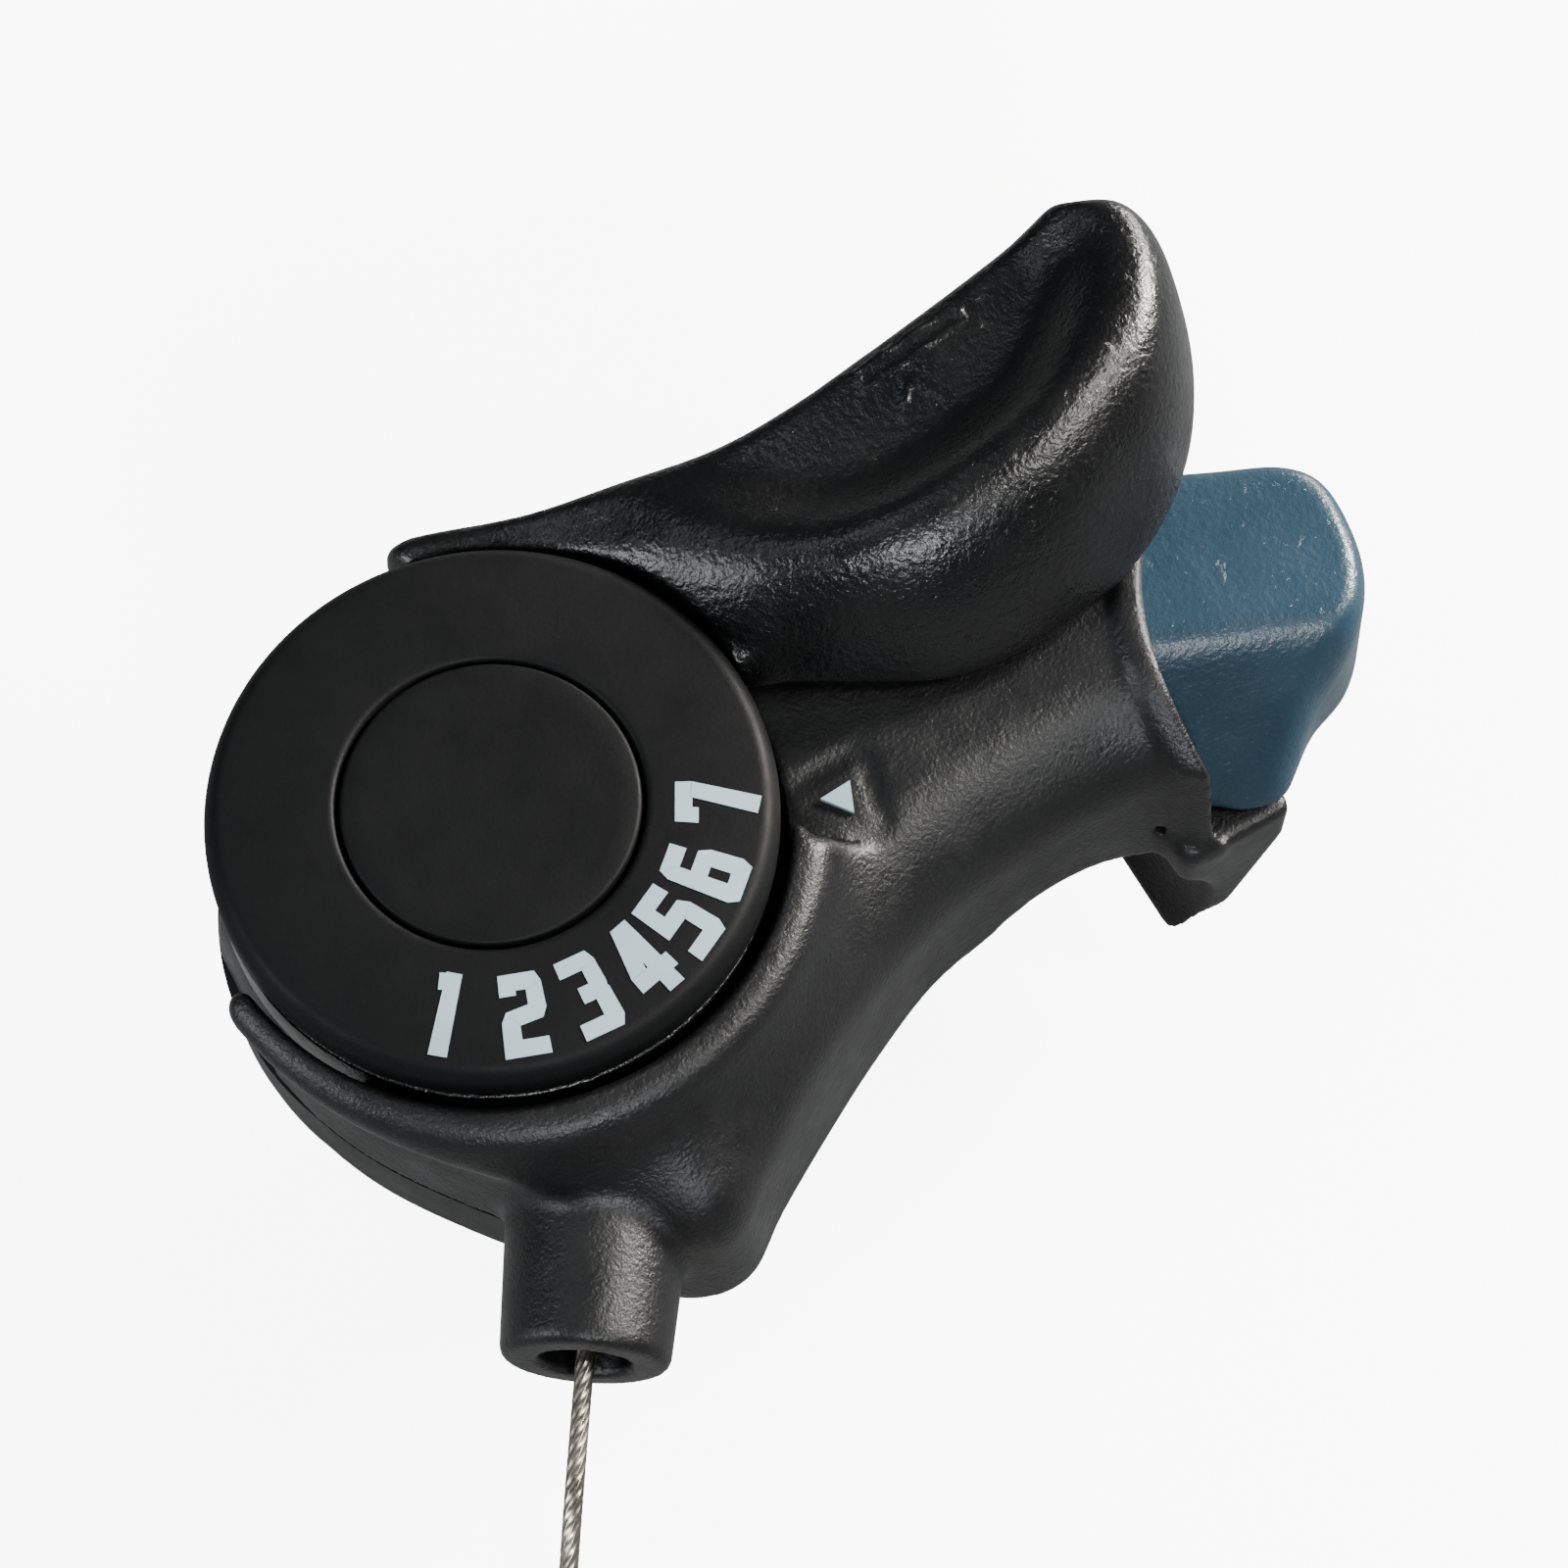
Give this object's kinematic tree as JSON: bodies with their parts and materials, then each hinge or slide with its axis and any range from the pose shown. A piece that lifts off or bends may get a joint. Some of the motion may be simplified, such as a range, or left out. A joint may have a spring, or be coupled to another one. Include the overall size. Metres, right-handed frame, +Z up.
{
  "type": "bicycle thumb shifter",
  "caption": "Thumb shifter: a scooped lever turns a numbered dial and cable drum, beside a push-button release and a saddle clamp for a handlebar.",
  "frame": {"origin": "middle of the handlebar bore, on its axis", "axes": "+Z up along the lever's pivot, +Y along the handlebar, +X from the dial towards the release button"},
  "size_m": [0.0944, 0.1006, 0.0499],
  "materials": {
    "housing_plastic": "fine matte moulded black plastic",
    "base_plastic": "matte moulded black plastic",
    "lever_plastic": "satin moulded black plastic, a little glossier on the ridge",
    "dial_plastic": "smooth matte black plastic",
    "print_grey": "pale grey printed ink",
    "button_blue": "satin moulded petrol-blue plastic",
    "drum_plastic": "natural acetal",
    "steel": "zinc-plated steel",
    "dark_steel": "black oxide steel",
    "spring_steel": "spring steel",
    "cable_steel": "stranded stainless wire",
    "bronze": "sintered bronze",
    "cap_aluminium": "crimped aluminium"
  },
  "bodies": {
    "housing_body": {"upper_housing": "housing_plastic", "base_cover": "base_plastic", "cover_screws": "steel", "pivot_post": "steel", "pivot_screw": "steel", "thrust_washer": "steel", "wave_washer": "spring_steel", "click_spring": "spring_steel", "spring_post": "steel", "balance_spring": "spring_steel", "button_spring": "spring_steel", "clamp_band": "dark_steel", "clamp_bolt": "steel", "clamp_nut": "steel", "cable_in_housing": "cable_steel", "cable_lead": "cable_steel", "cable_coil": "cable_steel", "cable_end_cap": "cap_aluminium"},
    "lever_body": {"lever": "lever_plastic", "dial_plate": "dial_plastic", "dial_cap": "dial_plastic", "cable_drum": "drum_plastic", "index_plate": "steel", "cable_nipple": "steel", "bushing": "bronze"},
    "button_body": {"release_button": "button_blue", "push_rod": "steel"}
  },
  "joints": [
    {"name": "lever_swing", "type": "hinge", "parent": "housing_body", "child": "lever_body", "pos_m": [-0.032, 0.0065, 0.0076], "axis": [0, 0, 1], "range_deg": [0, 101], "deforming": ["click_spring", "balance_spring"]},
    {"name": "release_push", "type": "slide", "parent": "housing_body", "child": "button_body", "axis": [-1, 0, 0], "range_m": [0, 0.002], "stiffness_N_per_m": 900, "springref_m": -0.001, "deforming": ["button_spring"]}
  ]
}
